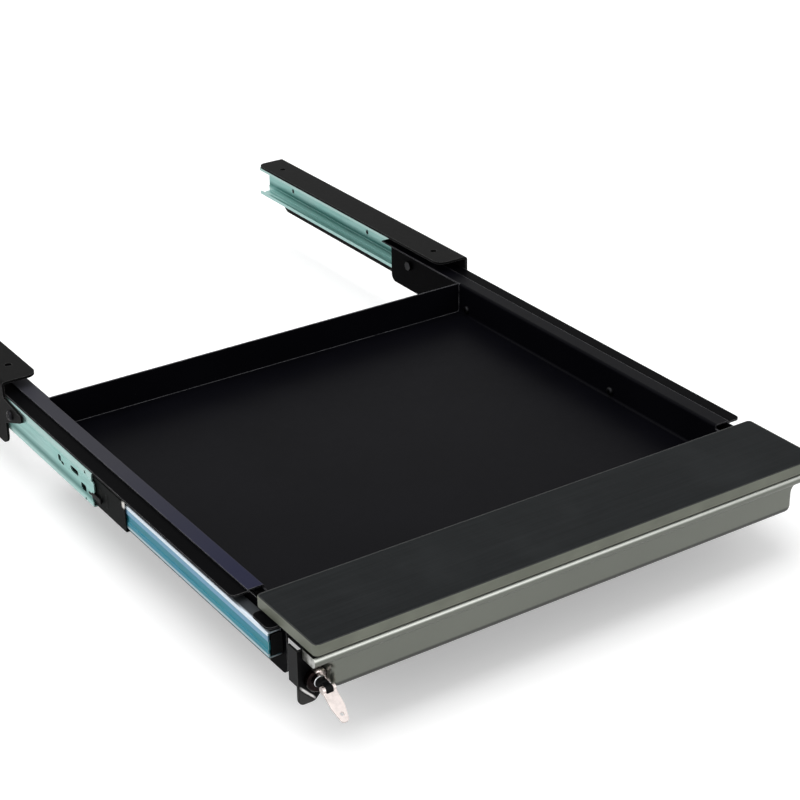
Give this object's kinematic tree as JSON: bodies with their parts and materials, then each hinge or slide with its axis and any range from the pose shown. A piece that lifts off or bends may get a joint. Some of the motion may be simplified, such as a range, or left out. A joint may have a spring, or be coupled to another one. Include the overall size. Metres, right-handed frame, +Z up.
{
  "type": "pull-out laptop shelf",
  "caption": "Under-desk pull-out shelf: a flat pan for a closed notebook on telescopic ball-bearing slides, with a writing board and a lockable front panel.",
  "frame": {"origin": "centre of the four desk screw holes, on the upper face of the hanger flanges", "axes": "+X across the shelf to the user's right, +Y away from the user along the travel, +Z up into the desk top"},
  "size_m": [0.4084, 0.7395, 0.05],
  "materials": {
    "zinc_steel": "satin",
    "cage_steel": "satin",
    "bearing_steel": "polished",
    "black_plastic": "matt",
    "bracket_paint": "satin",
    "tray_paint": "gloss",
    "board_laminate": "fine texture",
    "edge_plastic": "satin",
    "panel_paint": "satin",
    "black_screw": "satin",
    "lock_black": "gloss",
    "lock_chrome": "polished",
    "key_nickel": "satin"
  },
  "bodies": {
    "hanger": {"bracket_left": "bracket_paint", "bracket_right": "bracket_paint", "outer_member_left": "zinc_steel", "outer_member_right": "zinc_steel", "outer_bumper_left": "black_plastic", "outer_bumper_right": "black_plastic", "outer_member_screws": "black_screw"},
    "mid_left": {"mid_member_left": "zinc_steel"},
    "mid_right": {"mid_member_right": "zinc_steel"},
    "outer_cage_left": {"outer_cage_left": "cage_steel", "outer_balls_left": "bearing_steel"},
    "outer_cage_right": {"outer_cage_right": "cage_steel", "outer_balls_right": "bearing_steel"},
    "inner_cage_left": {"inner_cage_left": "cage_steel", "inner_balls_left": "bearing_steel"},
    "inner_cage_right": {"inner_cage_right": "cage_steel", "inner_balls_right": "bearing_steel"},
    "tray": {"inner_member_left": "zinc_steel", "inner_member_right": "zinc_steel", "inner_member_screws": "black_screw", "side_rail_left": "tray_paint", "side_rail_right": "tray_paint", "tray_pan": "tray_paint", "pan_spacers": "black_plastic", "pan_screws": "black_screw", "front_channel": "tray_paint", "floor_screws": "black_screw", "board_core": "board_laminate", "board_edge_band": "edge_plastic", "board_screws": "black_screw", "front_panel": "panel_paint", "panel_screws": "black_screw", "lock_housing": "lock_black", "lock_nut": "zinc_steel"},
    "lock_barrel": {"lock_plug": "lock_chrome", "lock_cam": "zinc_steel", "lock_cam_screw": "zinc_steel", "key_hub": "black_plastic"},
    "key_bow": {"key_bow": "key_nickel", "key_pivot_pin": "key_nickel"}
  },
  "joints": [
    {"name": "first_stage", "type": "slide", "parent": "hanger", "child": "mid_left", "axis": [0, -1, 0], "range_m": [-0.225, 0]},
    {"name": "second_stage", "type": "slide", "parent": "mid_left", "child": "tray", "axis": [0, -1, 0], "range_m": [0, 0.225]},
    {"name": "first_stage_right", "type": "slide", "parent": "hanger", "child": "mid_right", "axis": [0, -1, 0], "range_m": [-0.225, 0]},
    {"name": "outer_cage_left_roll", "type": "slide", "parent": "hanger", "child": "outer_cage_left", "axis": [0, -1, 0], "range_m": [-0.1125, 0]},
    {"name": "outer_cage_right_roll", "type": "slide", "parent": "hanger", "child": "outer_cage_right", "axis": [0, -1, 0], "range_m": [-0.1125, 0]},
    {"name": "inner_cage_left_roll", "type": "slide", "parent": "mid_left", "child": "inner_cage_left", "axis": [0, -1, 0], "range_m": [0, 0.1125]},
    {"name": "inner_cage_right_roll", "type": "slide", "parent": "mid_right", "child": "inner_cage_right", "axis": [0, -1, 0], "range_m": [0, 0.1125]},
    {"name": "lock_turn", "type": "hinge", "parent": "tray", "child": "lock_barrel", "pos_m": [-0.185, -0.54, -0.0335], "axis": [0, 1, 0], "range_deg": [0, 90]},
    {"name": "key_fold", "type": "hinge", "parent": "lock_barrel", "child": "key_bow", "pos_m": [-0.185, -0.5524, -0.0335], "axis": [1, 0, 0], "range_deg": [-32, 58]}
  ],
  "couplings": [
    {"joint": "first_stage_right", "follows": "first_stage", "ratio": 1},
    {"joint": "outer_cage_left_roll", "follows": "first_stage", "ratio": 0.5},
    {"joint": "outer_cage_right_roll", "follows": "first_stage", "ratio": 0.5},
    {"joint": "inner_cage_left_roll", "follows": "second_stage", "ratio": 0.5},
    {"joint": "inner_cage_right_roll", "follows": "second_stage", "ratio": 0.5}
  ]
}
